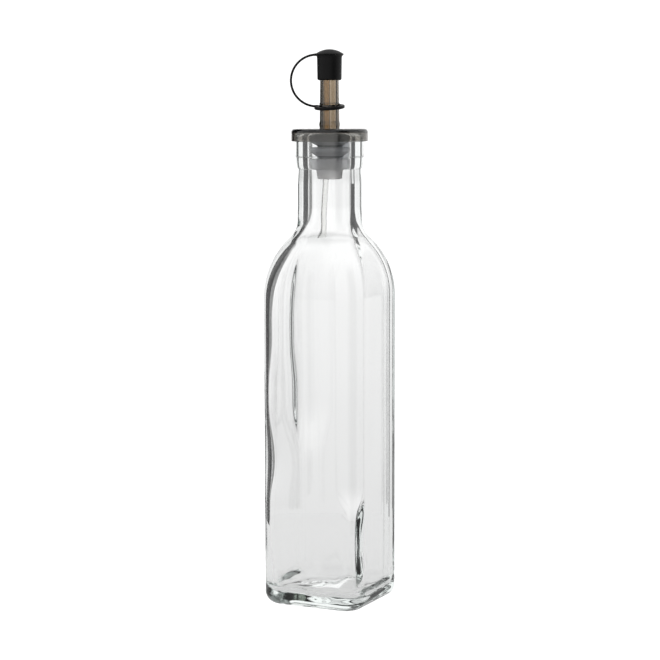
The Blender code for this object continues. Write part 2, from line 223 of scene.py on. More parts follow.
def add_piece(name, mesh, node, turn=0.0):
    """Puts a mesh in the scene, in place of one node of the solid model."""
    piece = bpy.data.objects.new(name, mesh)
    bpy.context.scene.collection.objects.link(piece)
    piece.rotation_euler.z = turn
    weighted = piece.modifiers.new("Weighted normals", "WEIGHTED_NORMAL")
    weighted.keep_sharp = True
    weighted.weight = NORMAL_WEIGHT
    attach(piece, "root")
    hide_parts(node)
    return piece


print(f"{RING_POINTS} points to a ring, closest together at the corners")

# %% [markdown]
# ## The bottle's outside
# The bottle was blown in a mould. Its outside is crisp and even: a rounded heel, a square body, and
# shoulders that run in one long S into a neck that swells to a thick lip. A subdivision cage would
# give the shoulders too, but two tangent arcs give them exactly, and they can be measured.

# %% Sections of the outside
CORNER = 9.6
HEEL = 5.3
PUSH_UP = 3.0
STANDING_BAND = 4.5
SHOULDER_FOOT = 135.6
SHOULDER_TOP = 169.2
SHOULDER_ROUND = 33.4
NECK = 14.1
NECK_WAIST = 13.6
NECK_WAIST_HEIGHT = 184.5
LIP = 14.95
LIP_BOTTOM = 191.4
LIP_LEDGE_HEIGHT = 196.5
LIP_LEDGE = 0.2
LIP_EDGE = 1.6
MOUTH_EDGE = 0.9
BORE = 9.2
LEVEL_STEP = 3.0
WAIST_SHARES = (0.25, 0.5, 0.75, 1)
LIP_STEPS = 10
MOUTH_STEPS = 8


def s_curve(foot, top, drop, convex, steps=24):
    """Two tangent arcs as (height, share left of the drop), from a wide foot to a narrow top."""
    rise = top - foot
    angle = 2 * math.atan2(drop, rise)
    concave = rise / math.sin(angle) - convex
    levels = []
    for i in range(steps + 1):
        part = angle * i / steps
        levels.append((foot + convex * math.sin(part), 1 - convex * (1 - math.cos(part)) / drop))
    for i in range(1, steps + 1):
        part = angle * (1 - i / steps)
        levels.append((top - concave * math.sin(part), concave * (1 - math.cos(part)) / drop))
    return levels


def shoulder(foot, top, half, corner, neck, convex):
    """Sections from the rounded square of the body to the circle of the neck."""
    diagonal = (half - corner) * math.sqrt(2) + corner
    return [(height, neck + (half - neck) * share, neck + (corner - neck) * share)
            for height, share in s_curve(foot, top, diagonal - neck, convex)]


def heel(half, corner, radius, height, steps=12):
    """Sections up a rounded heel, from its flat to the upright wall."""
    sections = []
    for i in range(steps + 1):
        angle = 0.5 * math.pi * i / steps
        inset = radius * (1 - math.sin(angle))
        sections.append((height + radius * (1 - math.cos(angle)), half - inset, corner - inset))
    return sections


def dome(half, corner, height, rise, steps=14):
    """A low dome, from close to its middle out to a rounded square edge."""
    sections = []
    for i in range(1, steps):
        share = i / steps
        level = height + rise * 0.5 * (1 + math.cos(math.pi * share))
        sections.append((level, half * share, share * (half * (1 - share) + corner * share)))
    return sections


def levels_between(low, high):
    """Sections at even heights between two others, so that a straight wall has points to move."""
    steps = max(1, round((high[0] - low[0]) / LEVEL_STEP))
    return [tuple(a + (b - a) * i / steps for a, b in zip(low, high)) for i in range(1, steps)]


def outside():
    half = 0.5 * side
    sections = dome(half - HEEL - STANDING_BAND, CORNER - HEEL, 0.0, PUSH_UP)
    foot = heel(half, CORNER, HEEL, 0.0)
    rise = shoulder(SHOULDER_FOOT, SHOULDER_TOP, half, CORNER, NECK, SHOULDER_ROUND)
    sections += foot + levels_between(foot[-1], rise[0]) + rise
    ledge = LIP - LIP_LEDGE
    lip = [(NECK, NECK_WAIST_HEIGHT)]
    lip += [(NECK + (NECK_WAIST - NECK) * 0.5 * (1 - math.cos(math.pi * share)),
             NECK_WAIST_HEIGHT + (LIP_BOTTOM - NECK_WAIST_HEIGHT) * share) for share in WAIST_SHARES]
    lip += [(NECK_WAIST + (ledge - NECK_WAIST) * math.sin(angle),
             LIP_LEDGE_HEIGHT - (LIP_LEDGE_HEIGHT - LIP_BOTTOM) * math.cos(angle))
            for angle in (0.5 * math.pi * i / LIP_STEPS for i in range(1, LIP_STEPS + 1))]
    lip += [(LIP - 0.5 * LIP_LEDGE, LIP_LEDGE_HEIGHT + 0.5 * LIP_LEDGE), (LIP, LIP_LEDGE_HEIGHT + LIP_LEDGE)]
    lip += arc((LIP - LIP_EDGE, mouth - LIP_EDGE), LIP_EDGE, 0, 90, LIP_STEPS)
    lip += arc((BORE + MOUTH_EDGE, mouth - MOUTH_EDGE), MOUTH_EDGE, 90, 180, MOUTH_STEPS)
    return sections + [(height, radius, radius) for radius, height in lip]


print(f"{len(outside())} sections from the underside to the mouth")

# %% [markdown]
# ## The bottle's hollow
# Only air shaped the inside, so its walls wander: glass is thick here and thin there, mostly round
# the corners and near the base. Seen from outside this makes the dark bands at the edges swell and
# shrink. Random noise alone would look like melted ice, so each corner gets its own long, low form,
# and these die out at the floor and in the neck.
# The left corner is thin, with one thicker lump, and thins further above it. The right one is thick
# throughout, and the front one has a lump low down. The numbers were found by moving each form until
# its lines fell near those in the picture. They are guesses at this glass, not measured from it.

# %% How the inner wall wanders
WALL = 2.7
INNER_CORNER = 8.4
FLOOR = 5.0
FLOOR_HEEL = 6.0
FLOOR_DOME = 3.0
HOLLOW_TOP = 175.0
HOLLOW_ROUND = 30.0
RIGHT, BACK, LEFT, FRONT = 0, 1, 2, 3
CORNER_SPREAD = math.radians(36)
FADE = 10.0
LEFT_RISE = (70.0, 90.0)
LEFT_TOP = (96.0, 118.0)
LEFT_THINNER = (0.45, 0.75, 0.9)
LEFT_LUMP = -0.55
LEFT_LUMP_HEIGHT = 64.0
LEFT_LUMP_HALF = 17.0
RIGHT_THICKER = -0.8
FRONT_LUMP = -0.9
FRONT_LUMP_HEIGHT = 29.0
FRONT_LUMP_HALF = 16.0
FRONT_LUMP_TURN = math.radians(10)
FRONT_LUMP_SPREAD = math.radians(24)
WAVE = 0.10
WAVE_LENGTH = 34.0


def ease(low, high, value):
    share = min(1.0, max(0.0, (value - low) / (high - low)))
    return share * share * (3 - 2 * share)


def near(corner, angle, past=0.0, spread=CORNER_SPREAD):
    """One at a corner, or at an angle past it, easing to nothing at either side."""
    middle = (corner + 0.5) * 0.5 * math.pi + past
    off = abs((angle - middle + math.pi) % (2 * math.pi) - math.pi)
    return ease(spread, 0.0, off)


def lump(middle, half, height):
    return ease(half, 0.0, abs(height - middle))


def left_sway(height):
    """The left corner is thick at one height and thinner above it."""
    low, rise, high = LEFT_THINNER
    thick = LEFT_LUMP * lump(LEFT_LUMP_HEIGHT, LEFT_LUMP_HALF, height)
    return low + thick + rise * ease(*LEFT_RISE, height) + high * ease(*LEFT_TOP, height)


def wander(angle, height):
    """How far the inner wall strays outwards, in millimetres."""
    body = ease(FLOOR, FLOOR + FADE, height) * ease(SHOULDER_TOP, SHOULDER_FOOT - FADE, height)
    left = left_sway(height) * near(LEFT, angle)
    right = RIGHT_THICKER * near(RIGHT, angle)
    front = FRONT_LUMP * lump(FRONT_LUMP_HEIGHT, FRONT_LUMP_HALF, height)
    front *= near(FRONT, angle, FRONT_LUMP_TURN, FRONT_LUMP_SPREAD)
    spot = Vector((math.cos(angle), math.sin(angle), height / WAVE_LENGTH))
    return body * (left + right + front + WAVE * noise.noise(spot))


middle_height = 0.5 * SHOULDER_FOOT
for title, corner in (("right", RIGHT), ("back", BACK), ("left", LEFT), ("front", FRONT)):
    strays = wander((corner + 0.5) * 0.5 * math.pi, middle_height)
    print(f"half way up the body the {title} corner strays {strays:+.2f} mm")

# %% [markdown]
# ### The hollow's corners and floor
# A corner's radius matters as much as its thickness, because a tight inner corner and a wide one
# bend light differently. The front corner is drawn tight low down, the back one is filled higher up,
# and the left one widens as it rises. Each change eases in and out over some height, since a sudden
# step shows as a grey patch. The floor is uneven too, as glass that slumped would be.

# %% Corners and floor of the hollow
LEFT_CORNER = 6.4
LEFT_WAIST_WIDER = 1.0
LEFT_TOP_WIDER = 3.0
LEFT_LOW = (16.0, 30.0)
LEFT_WAIST = (44.0, 60.0)
BACK_CORNER = 13.2
BACK_LOW = (58.0, 84.0)
BACK_HIGH = (166.0, 150.0)
FRONT_CORNER = 3.2
FRONT_LOW = (10.0, 16.0)
FRONT_HIGH = (53.0, 40.0)
FLOOR_WAVE = 1.1
FLOOR_WAVE_LENGTH = 11.0
FLOOR_WAVE_TOP = 22.0


def inner_corners(height, corner, square):
    """The four corner radii at a height. square goes from one on the body to nothing in the neck."""
    corners = [corner] * 4
    front = ease(*FRONT_LOW, height) * ease(*FRONT_HIGH, height)
    corners[FRONT] += (FRONT_CORNER - corner) * front
    back = ease(*BACK_LOW, height) * ease(*BACK_HIGH, height)
    corners[BACK] += (BACK_CORNER - INNER_CORNER) * back * square
    wider = LEFT_WAIST_WIDER * ease(*LEFT_WAIST, height) + LEFT_TOP_WIDER * ease(*LEFT_TOP, height)
    corners[LEFT] += (LEFT_CORNER + wider - INNER_CORNER) * ease(*LEFT_LOW, height) * square
    return corners


def settled(points):
    """Lifts and lowers the points near the floor, which is as uneven as the glass that slumped there."""
    moved = []
    for point in points:
        low = ease(FLOOR_WAVE_TOP, FLOOR, point.z)
        lift = FLOOR_WAVE * low * noise.noise(Vector((point.x, point.y, 0)) / FLOOR_WAVE_LENGTH)
        moved.append(point + Vector((0, 0, lift)))
    return moved


def hollow():
    half = 0.5 * side - WALL
    floor = heel(half, INNER_CORNER, FLOOR_HEEL, FLOOR)
    rise = shoulder(SHOULDER_FOOT, HOLLOW_TOP, half, INNER_CORNER, BORE, HOLLOW_ROUND)
    middle = dome(half - FLOOR_HEEL, INNER_CORNER - FLOOR_HEEL, FLOOR, FLOOR_DOME)
    walls = [(height, wide, inner_corners(height, corner, (wide - BORE) / (half - BORE)))
             for height, wide, corner in levels_between(floor[-1], rise[0]) + rise]
    return middle + floor + walls


print(f"{len(hollow())} sections from the floor up to the bore")

# %% Skin the bottle
rings = [ring(*section) for section in outside()]
rings += [settled(ring(*section, wander)) for section in hollow()[::-1]]
bottle = add_piece("bottle_glass", skin("bottle_glass", rings), "bottle")

# %% [markdown]
# ## The stopper
# A soft frosted plug grips the bore with two fins that are flat on top and slope underneath, above a
# plain plug that narrows to a spigot. It is turned from one outline. The fins press on the glass in
# the real thing. Here a quarter of a millimetre of air is left, because see-through surfaces that
# touch or cross can render wrongly.

# %% Turn the stopper
FIN_GAP = 0.25
STOPPER_CORE = 5.3
STOPPER_BORE = 4.0
FIN_EDGE = 1.6
FIN_FALL = 2.6
FIRST_FIN_FALL = 2.0
FIN_FILLET = 0.35
FIN_TOPS = (200.8, 196.0)
FIRST_FIN_UNDERSIDE = 203.4
PLUG_BOTTOM = 191.2
PLUG_EDGE = 1.4
SPIGOT_TOP = 5.9
SPIGOT_TIP = 5.35
SPIGOT_END = 186.7
SMALL_FILLET = 0.25


def stopper_outline():
    tip = BORE - FIN_GAP
    middle, last = FIN_TOPS
    corners = [(tip, mouth, FIN_FILLET), (tip, FIRST_FIN_UNDERSIDE, FIN_FILLET),
               (STOPPER_CORE, FIRST_FIN_UNDERSIDE - FIRST_FIN_FALL, FIN_FILLET),
               (STOPPER_CORE, middle, SMALL_FILLET), (tip, middle, FIN_FILLET),
               (tip, middle - FIN_EDGE, FIN_FILLET),
               (STOPPER_CORE, middle - FIN_EDGE - FIN_FALL, SMALL_FILLET),
               (STOPPER_CORE, last, SMALL_FILLET), (tip, last, FIN_FILLET),
               (tip, PLUG_BOTTOM, PLUG_EDGE), (SPIGOT_TOP, PLUG_BOTTOM, SMALL_FILLET),
               (SPIGOT_TIP, SPIGOT_END, FIN_FILLET), (STOPPER_BORE, SPIGOT_END, SMALL_FILLET),
               (STOPPER_BORE, mouth, SMALL_FILLET)]
    return filleted(corners)


stopper_body = turned("stopper_frosted", stopper_outline())

# %% [markdown]
# ### The stopper's rib
# On one side the gaps between the fins are filled, which an upright rib explains. Its thickness is a
# guess. A block could simply be pushed into the turned body, but see-through plastic would show the
# faces left inside, so a Boolean union joins the two into one skin.

# %% Join the rib
RIB_THICKNESS = 1.6
RIB_BITE = 1.0
STOPPER_TURN = math.radians(26.0)


def block(name, low, high):
    """An upright block between two opposite corners, to join on."""
    shape = bmesh.new()
    place = Matrix.Translation(0.5 * (low + high) * MM) @ Matrix.Diagonal((*(high - low) * MM, 1))
    bmesh.ops.create_cube(shape, size=1.0, matrix=place)
    mesh = bpy.data.meshes.new(name)
    shape.to_mesh(mesh)
    shape.free()
    return bpy.data.objects.new(name, mesh)


def combined(mesh, steps):
    """The mesh after each (operation, object) has been joined on or cut away."""
    base = bpy.data.objects.new(mesh.name, mesh)
    things = [base] + [other for operation, other in steps]
    for thing in things:
        bpy.context.scene.collection.objects.link(thing)
    for operation, other in steps:
        boolean = base.modifiers.new(operation, "BOOLEAN")
        boolean.operation = operation
        boolean.solver = "EXACT"
        boolean.object = other
    bpy.context.view_layer.update()
    result = bpy.data.meshes.new_from_object(base.evaluated_get(bpy.context.evaluated_depsgraph_get()))
    for thing in things:
        bpy.data.objects.remove(thing)
    result.name = mesh.name
    return finish_mesh(result)


rib = block("rib", Vector((STOPPER_CORE - RIB_BITE, -0.5 * RIB_THICKNESS, FIN_TOPS[-1] - RIB_BITE)),
            Vector((BORE - 2 * FIN_GAP, 0.5 * RIB_THICKNESS, FIRST_FIN_UNDERSIDE + RIB_BITE)))
stopper_mesh = combined(stopper_body, [("UNION", rib)])
stopper = add_piece("stopper_frosted", stopper_mesh, "stopper", STOPPER_TURN)

# %% [markdown]
# ## The pourer
# Flange, spout and stem are one smoke tinted moulding. A small air channel runs down one side of the
# spout's bore, and its edge is the thin dark line in the middle of the spout. The body is turned,
# then the channel's wall is joined on and bored through in two widths, narrower at the foot, with
# the same Boolean helper, because that is the one part of the shape that is not round.

# %% Turn the pourer
GAP = 0.3
FLANGE = 16.75
FLANGE_TOP = 208.9
FLANGE_THICKNESS = 1.6
FLANGE_EDGE = 1.5
SKIRT_WALL = 1.25
SKIRT_BOTTOM = 203.4
SKIRT_EDGE = 0.4
SPOUT_BORE = 2.9
SPOUT_FOOT = 4.33
SPOUT_TIP = 3.95
SPOUT_END = 238.4
SPOUT_EDGE = 0.35
BULGE = 4.56
BULGE_HEIGHT = 210.7
BULGE_HALF = 1.6
BEAD_HEIGHT = 219.7
BEAD_PROUD = 0.26
BEAD_HALF = 0.5
STEM = 3.7
STEM_BOTTOM = 191.0
CHANNEL_OFFSET = 1.45
CHANNEL = 1.6
CHANNEL_BORE = 1.25
CHANNEL_TOP = 236.0
CHANNEL_FOOT_BORE = 0.85
CHANNEL_FOOT = 4.0
CHANNEL_STEP = STEM_BOTTOM + CHANNEL_FOOT
ROD_SIDES = 64
POURER_TURN = STOPPER_TURN


def spout_radius(height):
    share = (height - FLANGE_TOP) / (SPOUT_END - FLANGE_TOP)
    return SPOUT_FOOT + (SPOUT_TIP - SPOUT_FOOT) * share


def swelling(height, half, proud, steps=14):
    """A soft band that stands proud of the spout, from the top down, as corners with no fillet."""
    corners = []
    for i in range(steps + 1):
        share = 1 - 2 * i / steps
        level = height + half * share
        corners.append((spout_radius(level) + proud * (1 - share * share) ** 2, level, 0))
    return corners


def pourer_outline():
    underside = FLANGE_TOP - FLANGE_THICKNESS
    inside = FLANGE - SKIRT_WALL
    corners = [(SPOUT_TIP, SPOUT_END, SPOUT_EDGE)]
    corners += swelling(BEAD_HEIGHT, BEAD_HALF, BEAD_PROUD)
    corners += swelling(BULGE_HEIGHT, BULGE_HALF, BULGE - spout_radius(BULGE_HEIGHT))
    corners += [(SPOUT_FOOT, FLANGE_TOP, 0), (FLANGE, FLANGE_TOP, FLANGE_EDGE),
                (FLANGE, SKIRT_BOTTOM, SKIRT_EDGE), (inside, SKIRT_BOTTOM, SMALL_FILLET),
                (inside, underside, SKIRT_EDGE), (STEM, underside, SMALL_FILLET),
                (STEM, STEM_BOTTOM, SMALL_FILLET), (SPOUT_BORE, STEM_BOTTOM, SMALL_FILLET),
                (SPOUT_BORE, SPOUT_END, SMALL_FILLET)]
    return filleted(corners)


def rod(name, radius, low, high, offset):
    """An upright cylinder that stands off the axis, to join on or to cut with."""
    shape = bmesh.new()
    place = Matrix.Translation(Vector((offset, 0, 0.5 * (low + high))) * MM)
    bmesh.ops.create_cone(shape, cap_ends=True, segments=ROD_SIDES, radius1=radius * MM,
                          radius2=radius * MM, depth=(high - low) * MM, matrix=place)
    mesh = bpy.data.meshes.new(name)
    shape.to_mesh(mesh)
    shape.free()
    return bpy.data.objects.new(name, mesh)


channel_wall = rod("channel_wall", CHANNEL, STEM_BOTTOM + GAP, CHANNEL_TOP, -CHANNEL_OFFSET)
channel_foot = rod("channel_foot", CHANNEL_FOOT_BORE, STEM_BOTTOM - GAP, CHANNEL_STEP + GAP,
                   -CHANNEL_OFFSET)
channel_hole = rod("channel_hole", CHANNEL_BORE, CHANNEL_STEP, CHANNEL_TOP + GAP, -CHANNEL_OFFSET)
channel_steps = [("UNION", channel_wall), ("DIFFERENCE", channel_foot), ("DIFFERENCE", channel_hole)]
pourer_mesh = combined(turned("pourer_smoke", pourer_outline()), channel_steps)
pourer = add_piece("pourer_smoke", pourer_mesh, "pourer", POURER_TURN)

# %% [markdown]
# ## The air tube
# A thin clear tube hangs from the channel into the neck. It is a curve with a round bevel in most
# models, but a bevelled curve is a solid rod, and a rod bends light like a lens. A tube needs both
# its walls, so it is skinned from rings that follow the outside down and the bore back up.

# %% Skin the air tube
AIR_TUBE = 1.3
AIR_TUBE_WALL = 0.35
AIR_TUBE_END = 160.0
AIR_TUBE_LEAN = 1.6
AIR_TUBE_BOW = 0.5


def air_tube_mesh(steps=40, points=48):
    top_end = STEM_BOTTOM - GAP
    length = top_end - AIR_TUBE_END

    def circle(share, radius):
        sway = CHANNEL_OFFSET + AIR_TUBE_LEAN * share + AIR_TUBE_BOW * share * share
        middle = Vector((-sway, 0, top_end - length * share))
        return [middle + Vector((radius * math.cos(2 * math.pi * i / points),
                                 radius * math.sin(2 * math.pi * i / points), 0)) for i in range(points)]

    shares = [i / steps for i in range(steps + 1)]
    rings = [circle(share, AIR_TUBE) for share in shares]
    rings += [circle(share, AIR_TUBE - AIR_TUBE_WALL) for share in shares[::-1]]
    return skin("air_tube_clear", rings, loop=True)


air_tube = add_piece("air_tube_clear", air_tube_mesh(), "breather_tube", POURER_TURN)

# %% [markdown]
# ## The cap
# Cap, strap and ring are one rubber moulding. The cap itself is turned from an outline with a domed
# top, a thin brim and a tapered side. Its bore ends in a flat ceiling just above the spout's tip.

# %% Turn the cap
CAP_DOME = 10.4
BRIM = 6.25
BRIM_DROP = 0.45
CAP_RADIUS = 5.4
CAP_TAPER = 0.12
CAP_NECK = 239.9
CAP_BOTTOM = 229.8
CAP_EDGE = 0.8
CAP_BORE = 4.45
CAP_MIDDLE = 89
CAP_STEPS = 16
CAP_EDGE_STEPS = 8
BRIM_TURN = (40, -70)
BRIM_STEPS = 6
BRIM_UNDER = (0.1, 0.2)
SKIRT_TOP = 0.4
CAP_LIP = 0.1
CEILING_EDGE = 0.3


def cap_mesh():
    centre = (0.0, top - CAP_DOME)
    end = 90 - math.degrees(math.asin((BRIM - 0.5 * BRIM_DROP) / CAP_DOME))
    outline = arc(centre, CAP_DOME, CAP_MIDDLE, end, CAP_STEPS)
    brim = outline[-1][1] - 0.5 * BRIM_DROP
    outline += arc((BRIM - 0.5 * BRIM_DROP, brim), 0.5 * BRIM_DROP, *BRIM_TURN, BRIM_STEPS)
    outline.append((CAP_RADIUS + BRIM_UNDER[0], CAP_NECK + BRIM_UNDER[1]))
    low = CAP_RADIUS - CAP_TAPER
    outline.append((CAP_RADIUS, CAP_NECK - SKIRT_TOP))
    outline += arc((low - CAP_EDGE, CAP_BOTTOM + CAP_EDGE), CAP_EDGE, 0, -90, CAP_EDGE_STEPS)
    ceiling = SPOUT_END + GAP
    outline += [(CAP_BORE + CAP_LIP, CAP_BOTTOM), (CAP_BORE, CAP_BOTTOM + CAP_LIP)]
    outline += [(CAP_BORE, ceiling - CEILING_EDGE), (CAP_BORE - CEILING_EDGE, ceiling),
                (CEILING_EDGE, ceiling)]
    return turned("cap_rubber", outline, loop=False)


cap_body = cap_mesh()

# %% [markdown]
# ### The strap
# The strap is a round strand of rubber, half a circle long, that thickens where it meets the cap and
# the ring. A curve with a round bevel gives all of this, since each point has its own radius. It is
# turned into a mesh, so that it can be joined on.

# %% Bend the strap
STRAP = 0.5
STRAP_LOOP = 11.15
STRAP_CENTRE = 5.6
STRAP_HEIGHT = 229.7
STRAP_ROOT = 0.5
STRAP_FLARE = 0.35
STRAP_FLARE_SHARE = 0.06
STRAP_POINTS = 64
STRAP_ROUNDNESS = 6
WELD = 0.002


def strap_object():
    curve = bpy.data.curves.new("strap", "CURVE")
    curve.dimensions = "3D"
    curve.bevel_depth = STRAP * MM
    curve.bevel_resolution = STRAP_ROUNDNESS
    curve.use_fill_caps = True
    spline = curve.splines.new("POLY")
    route = [(STRAP_ROOT - STRAP_CENTRE, STRAP_HEIGHT + STRAP_LOOP)]
    route += arc((-STRAP_CENTRE, STRAP_HEIGHT), STRAP_LOOP, 90, 270, STRAP_POINTS)
    route.append((STRAP_ROOT - STRAP_CENTRE, STRAP_HEIGHT - STRAP_LOOP))
    spline.points.add(len(route) - 1)
    for i, (point, (x, z)) in enumerate(zip(spline.points, route)):
        from_end = min(i, len(route) - 1 - i) / STRAP_POINTS
        point.co = (x * MM, 0, z * MM, 1)
        point.radius = 1 + STRAP_FLARE * ease(STRAP_FLARE_SHARE, 0.0, from_end)
    holder = bpy.data.objects.new("strap_curve", curve)
    bpy.context.scene.collection.objects.link(holder)
    bpy.context.view_layer.update()
    mesh = bpy.data.meshes.new_from_object(holder.evaluated_get(bpy.context.evaluated_depsgraph_get()))
    bpy.data.objects.remove(holder)
    shape = bmesh.new()
    shape.from_mesh(mesh)
    bmesh.ops.remove_doubles(shape, verts=shape.verts, dist=WELD * MM)
    bmesh.ops.recalc_face_normals(shape, faces=shape.faces)
    shape.to_mesh(mesh)
    shape.free()
    return bpy.data.objects.new("strap", mesh)


strap_length = math.pi * STRAP_LOOP + 2 * STRAP_ROOT
print(f"the strap is {strap_length:.1f} mm long and {2 * STRAP:.1f} mm thick")

# %% [markdown]
# ### The ring
# The ring is turned, then tipped, because it hangs loose round the spout. Boolean unions join cap,
# strap and ring, so that no whole surface is left inside the rubber. Where the strap enters the cap
# they leave two slivers that have next to no area.

# %% Turn the ring and join all three
RING = 6.65
RING_BORE = 4.85
RING_THICKNESS = 1.4
RING_FILLET = 0.5
RING_HEIGHT = 218.2
RING_DIP = math.radians(6.5)
RING_ROLL = math.radians(2.8)


def ring_object():
    half = 0.5 * RING_THICKNESS
    outline = filleted([(RING, half, RING_FILLET), (RING, -half, RING_FILLET),
                        (RING_BORE, -half, SMALL_FILLET), (RING_BORE, half, SMALL_FILLET)])
    thing = bpy.data.objects.new("ring", turned("ring", outline))
    tilt = Matrix.Rotation(RING_DIP, 4, "X") @ Matrix.Rotation(-RING_ROLL, 4, "Y")
    thing.matrix_world = Matrix.Translation((0, 0, RING_HEIGHT * MM)) @ tilt
    return thing


cap_joined = combined(cap_body, [("UNION", strap_object()), ("UNION", ring_object())])
cap = add_piece("cap_rubber", cap_joined, "cap", POURER_TURN)

# %% [markdown]
# ## A small kit for shader sums
# A material is a network of nodes, and clicking one together is fine for a first try. In a script a
# network soon hides the idea behind it. Here a socket is wrapped so that it can be added and
# multiplied like a number, and each sum quietly adds its Math node. Any other node comes from
# one method that takes its type, its settings and the values of its sockets.

class Wire:
    """One output socket that can stand in a sum."""

    def __init__(self, kit, socket):
        self.kit = kit
        self.socket = socket

    def math(self, operation, *values):
        return self.kit.node("Math", {"operation": operation}, dict(enumerate(values)))

    def __add__(self, other):
        return self.math("ADD", self, other)

    def __sub__(self, other):
        return self.math("SUBTRACT", self, other)

    def __rsub__(self, other):
        return self.math("SUBTRACT", other, self)

    def __mul__(self, other):
        return self.math("MULTIPLY", self, other)

    __radd__ = __add__
    __rmul__ = __mul__


class Kit:
    """Adds nodes to one node tree."""

    def __init__(self, tree):
        self.tree = tree
        tree.nodes.clear()

    def node(self, kind, settings=(), values=(), output=0):
        made = self.tree.nodes.new("ShaderNode" + kind)
        for name, value in dict(settings).items():
            if name == "stops":
                self.set_stops(made.color_ramp, value)
            else:
                setattr(made, name, value)
        for name, value in dict(values).items():
            if isinstance(value, Wire):
                self.tree.links.new(value.socket, made.inputs[name])
            else:
                made.inputs[name].default_value = value
        return Wire(self, made.outputs[output]) if made.outputs else None

    @staticmethod
    def set_stops(ramp, stops):
        while len(ramp.elements) > 1:
            ramp.elements.remove(ramp.elements[-1])
        for i, (place, colour) in enumerate(stops):
            stop = ramp.elements[0] if i == 0 else ramp.elements.new(place)
            stop.position = place
            stop.color = colour

    def between(self, value, low, high, low_to=0.0, high_to=1.0):
        """Eases a value from one range into another."""
        settings = {"interpolation_type": "SMOOTHSTEP"}
        return self.node("MapRange", settings, {"Value": value, "From Min": low, "From Max": high,
                                                "To Min": low_to, "To Max": high_to})

    def height(self):
        """How high a point is in the object's own space, in metres."""
        place = self.node("TexCoord", output="Object")
        return self.node("SeparateXYZ", {}, {"Vector": place}, "Z")

    def noise(self, scale, detail=2.0, stretch=(1, 1, 1)):
        """Noise in the object's own space, where a scale of 1000 makes lumps of about a millimetre."""
        place = self.node("TexCoord", output="Object")
        place = self.node("Mapping", {}, {"Vector": place, "Scale": stretch})
        return self.node("TexNoise", {}, {"Vector": place, "Scale": scale, "Detail": detail})


def grey(value):
    return (value, value, value, 1)


def new_material(name):
    material = bpy.data.materials.new(name)
    material.use_nodes = True
    return material, Kit(material.node_tree)


print("the kit is ready, and its sums can use + - and *")

# %% [markdown]
# ## Clear glass
# Soda glass is nearly colourless, and its iron only shows as a faint green where light runs a long
# way through it, as in the thick base. A tint on the surface would colour thin and thick places
# alike, so the colour is an absorption in the volume. The surface is polished but still has a long
# low ripple, far too fine to model, and that is a bump. The foot is worn a little dull.

# %% Glass
GLASS_IOR = 1.5
GLASS_TINT = (0.55, 0.80, 0.72, 1)
GLASS_DENSITY = 3.5
RIPPLE_SCALE = 70
RIPPLE_STRETCH = (1, 1, 0.5)
RIPPLE_STRENGTH = 0.25
FINE_DEPTH = 0.02
HAZE_SCALE = 25
HAZE_PATCHES = (0.45, 0.75)
HAZE = 0.012
WORN = (3.5, 0.5)
WORN_HAZE = 0.05


def glass():
    material, kit = new_material("clear_glass")
    ripple = kit.noise(RIPPLE_SCALE, 1.0, RIPPLE_STRETCH)
    bump = kit.node("Bump", {}, {"Height": ripple, "Strength": RIPPLE_STRENGTH,
                                 "Distance": FINE_DEPTH * MM})
    haze = kit.between(kit.noise(HAZE_SCALE, 3.0), *HAZE_PATCHES, 0.0, HAZE)
    haze = haze + kit.between(kit.height(), WORN[0] * MM, WORN[1] * MM, 0.0, WORN_HAZE)
    surface = kit.node("BsdfPrincipled", {}, {
        "Base Color": grey(1.0), "Roughness": haze, "IOR": GLASS_IOR,
        "Transmission Weight": 1.0, "Normal": bump})
    inside = kit.node("VolumeAbsorption", {}, {"Color": GLASS_TINT, "Density": GLASS_DENSITY})
    kit.node("OutputMaterial", {}, {"Surface": surface, "Volume": inside})
    return material


print(f"the glass has an index of refraction of {GLASS_IOR}, and {WORN_HAZE} more roughness at its foot")

# %% [markdown]
# ## Smoke tinted plastic
# The pourer's plastic is again coloured by absorption, so that the walls of the spout, seen edge on,
# turn dark by themselves. In the picture the spout is browner than the flange. They are one
# moulding, so one material serves both, and its colour changes at the height of the flange's top.

# %% Smoke tinted plastic
SMOKE_IOR = 1.5
SMOKE_TINT = (0.42, 0.40, 0.38, 1)
SMOKE_DENSITY = 760.0
SPOUT_BROWN = (1.0, 0.90, 0.76, 1)
FLANGE_GREY = (0.97, 0.96, 0.93, 1)
BROWN_BLEND = 0.5
FLOW_SCALE = 160
FLOW_STRETCH = (1, 1, 0.3)
FINE_STRENGTH = 0.2
SCUFF_SCALE = 400
SCUFF_PATCHES = (0.35, 0.7)
SCUFF_ROUGHNESS = (0.02, 0.09)


def smoke_plastic():
    material, kit = new_material("smoke_plastic")
    flow = kit.noise(FLOW_SCALE, 2.0, FLOW_STRETCH)
    bump = kit.node("Bump", {}, {"Height": flow, "Strength": FINE_STRENGTH, "Distance": FINE_DEPTH * MM})
    rough = kit.between(kit.noise(SCUFF_SCALE, 3.0), *SCUFF_PATCHES, *SCUFF_ROUGHNESS)
    brown = kit.between(kit.height(), (FLANGE_TOP - BROWN_BLEND) * MM, (FLANGE_TOP + BROWN_BLEND) * MM)
    colour = kit.node("Mix", {"data_type": "RGBA"}, {"Factor": brown, 6: FLANGE_GREY, 7: SPOUT_BROWN}, 2)
    surface = kit.node("BsdfPrincipled", {}, {
        "Base Color": colour, "Roughness": rough, "IOR": SMOKE_IOR,
        "Transmission Weight": 1.0, "Normal": bump})
    inside = kit.node("VolumeAbsorption", {}, {"Color": SMOKE_TINT, "Density": SMOKE_DENSITY})
    kit.node("OutputMaterial", {}, {"Surface": surface, "Volume": inside})
    return material


print(f"the smoke tint has a density of {SMOKE_DENSITY:.0f}")

